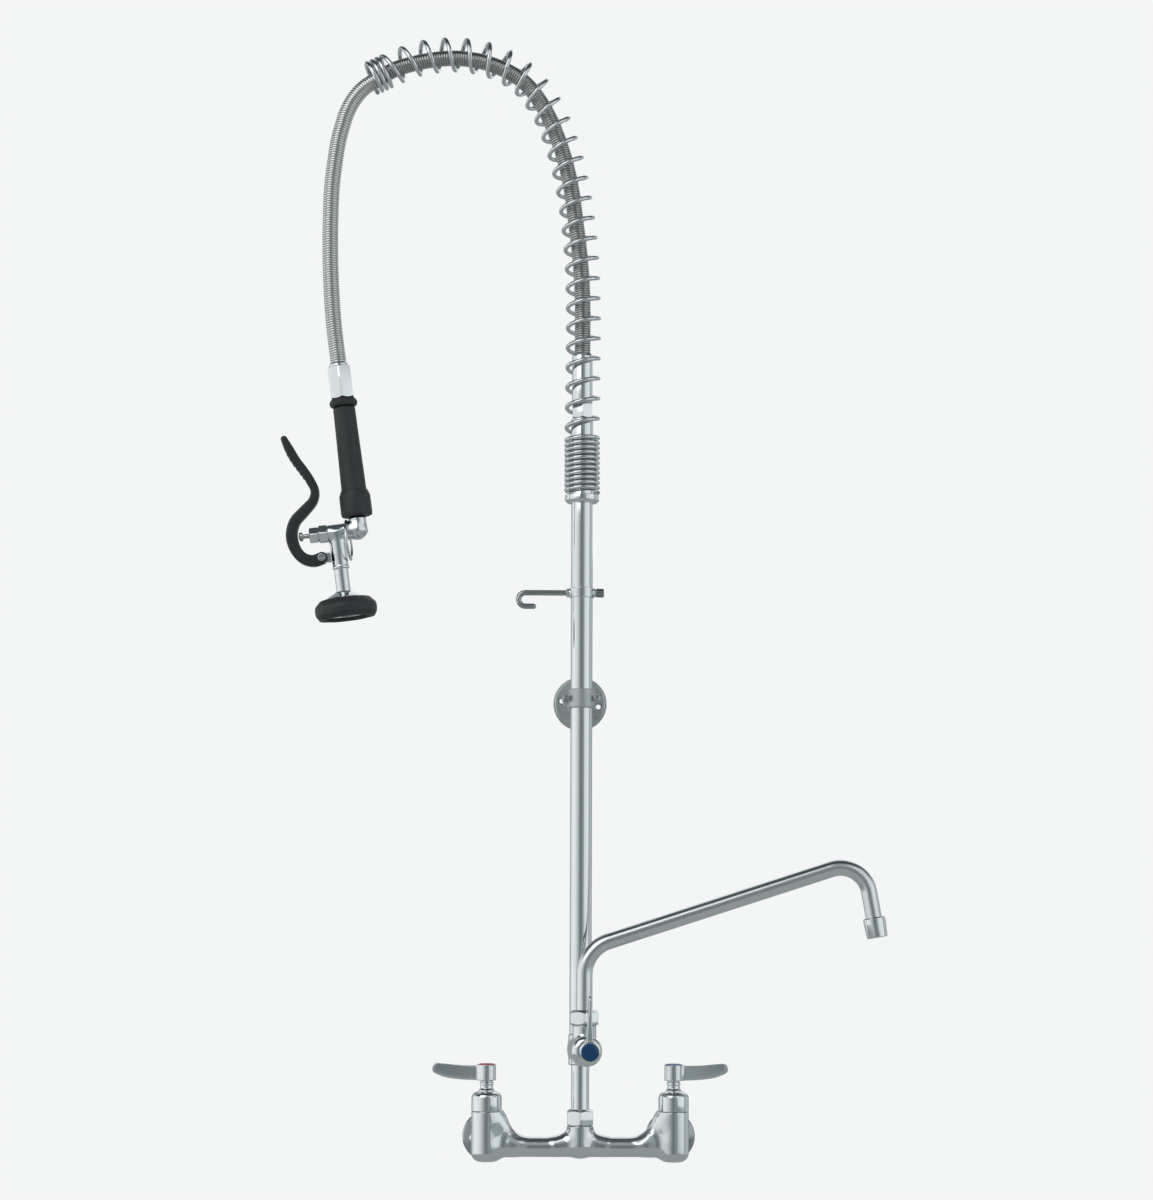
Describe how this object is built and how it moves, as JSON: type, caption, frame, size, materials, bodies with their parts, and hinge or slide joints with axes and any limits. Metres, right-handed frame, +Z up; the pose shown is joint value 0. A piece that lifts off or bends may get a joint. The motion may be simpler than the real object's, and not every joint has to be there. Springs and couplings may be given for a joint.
{
  "type": "pre rinse faucet",
  "caption": "Wall-mounted pre rinse faucet: two-handle mixing base, add-on swing nozzle, riser, overhead spring and hose with a squeeze-lever spray valve.",
  "frame": {"origin": "on the wall plane, midway between the two inlets and at the height of their axes", "axes": "+Z up along the riser, -Y away from the wall to the user, +X to the user's right, towards the swing nozzle at rest"},
  "size_m": [0.6662, 0.1825, 1.2561],
  "materials": {
    "chrome": "polished chrome plate",
    "bracket_plate": "satin plate over a rough casting",
    "spring_steel": "bright drawn wire",
    "hose_steel": "fine ribbed stainless",
    "steel": "turned",
    "hook_steel": "dark polished",
    "black_rubber": "satin",
    "lever_vinyl": "satin coating",
    "fibre": "pressed fibre",
    "hot_index": "gloss",
    "cold_index": "gloss",
    "add_on_index": "gloss"
  },
  "bodies": {
    "fixed": {"mixer_body": "chrome", "hot_inlet_flange": "chrome", "cold_inlet_flange": "chrome", "inlet_coupling_nuts": "chrome", "seal_washers": "fibre", "valve_bonnets": "chrome", "hot_cartridge": "chrome", "cold_cartridge": "chrome", "outlet_nut": "chrome", "lower_nipple": "chrome", "add_on_body": "chrome", "add_on_bonnet": "chrome", "add_on_cartridge": "chrome", "nozzle_nut": "chrome", "riser": "chrome", "hook_clamp": "hook_steel", "finger_hook": "hook_steel", "hook_screw": "hook_steel", "bracket_clamp_front": "bracket_plate", "bracket_clamp_rear": "bracket_plate", "clamp_screws": "steel", "clamp_nuts": "steel", "bracket_nipple": "chrome", "bracket_flange": "bracket_plate", "spring_holder": "chrome", "overhead_spring": "spring_steel", "hose_coupling": "chrome", "lower_ferrule": "chrome", "hose_arch": "hose_steel", "hose_drop": "hose_steel"},
    "hot_valve": {"hot_stem": "steel", "hot_handle": "chrome", "hot_handle_screw": "steel", "hot_index": "hot_index"},
    "cold_valve": {"cold_stem": "steel", "cold_handle": "chrome", "cold_handle_screw": "steel", "cold_index": "cold_index"},
    "add_on_valve": {"add_on_stem": "steel", "add_on_handle": "chrome", "add_on_handle_screw": "steel", "add_on_index": "add_on_index"},
    "nozzle": {"swing_nozzle": "chrome", "nozzle_o_rings": "black_rubber", "nozzle_outlet": "chrome"},
    "spray": {"end_ferrule": "chrome", "handle_tube": "chrome", "handle_grip": "black_rubber", "valve_body": "chrome", "valve_cap": "chrome", "seat_washer": "black_rubber", "return_spring": "steel", "lever_pivot": "steel", "spray_dome": "chrome", "spray_face": "steel", "bumper": "black_rubber"},
    "lever": {"squeeze_lever": "lever_vinyl"},
    "plunger": {"plunger": "steel"},
    "ring": {"hold_down_ring": "chrome"}
  },
  "joints": [
    {"name": "hot_handle_turn", "type": "hinge", "parent": "fixed", "child": "hot_valve", "pos_m": [-0.1016, -0.076, 0.07], "axis": [0, 0, 1], "range_deg": [0, 90]},
    {"name": "cold_handle_turn", "type": "hinge", "parent": "fixed", "child": "cold_valve", "pos_m": [0.1016, -0.076, 0.07], "axis": [0, 0, 1], "range_deg": [-90, 0]},
    {"name": "add_on_handle_turn", "type": "hinge", "parent": "fixed", "child": "add_on_valve", "pos_m": [0.00432, -0.13083, 0.0983], "axis": [-0.0785, 0.9969, 0], "range_deg": [0, 90]},
    {"name": "nozzle_swing", "type": "hinge", "parent": "fixed", "child": "nozzle", "pos_m": [0.0033, -0.11787, 0.13], "axis": [0, 0, 1], "range_deg": [-195, 15]},
    {"name": "spray_swing", "type": "hinge", "parent": "fixed", "child": "spray", "pos_m": [-0.2625, -0.076, 1.1495], "axis": [0, 1, 0], "range_deg": [-20, 20], "stiffness_Nm_per_rad": 1.5, "deforming": ["hose_drop"]},
    {"name": "lever_squeeze", "type": "hinge", "parent": "spray", "child": "lever", "pos_m": [-0.2877, -0.076, 0.6351], "axis": [0, 1, 0], "range_deg": [0, 15], "stiffness_Nm_per_rad": 1.2, "springref_deg": -11.46},
    {"name": "plunger_slide", "type": "slide", "parent": "spray", "child": "plunger", "axis": [0.9914, 0, 0.1305], "range_m": [0, 0.0075], "deforming": ["return_spring"]},
    {"name": "ring_swing", "type": "hinge", "parent": "spray", "child": "ring", "pos_m": [-0.25992, -0.076, 0.66549], "axis": [0.9914, 0, 0.1305], "range_deg": [-35, 35]}
  ],
  "couplings": [
    {"joint": "plunger_slide", "follows": "lever_squeeze", "m_per_rad": 0.026}
  ]
}
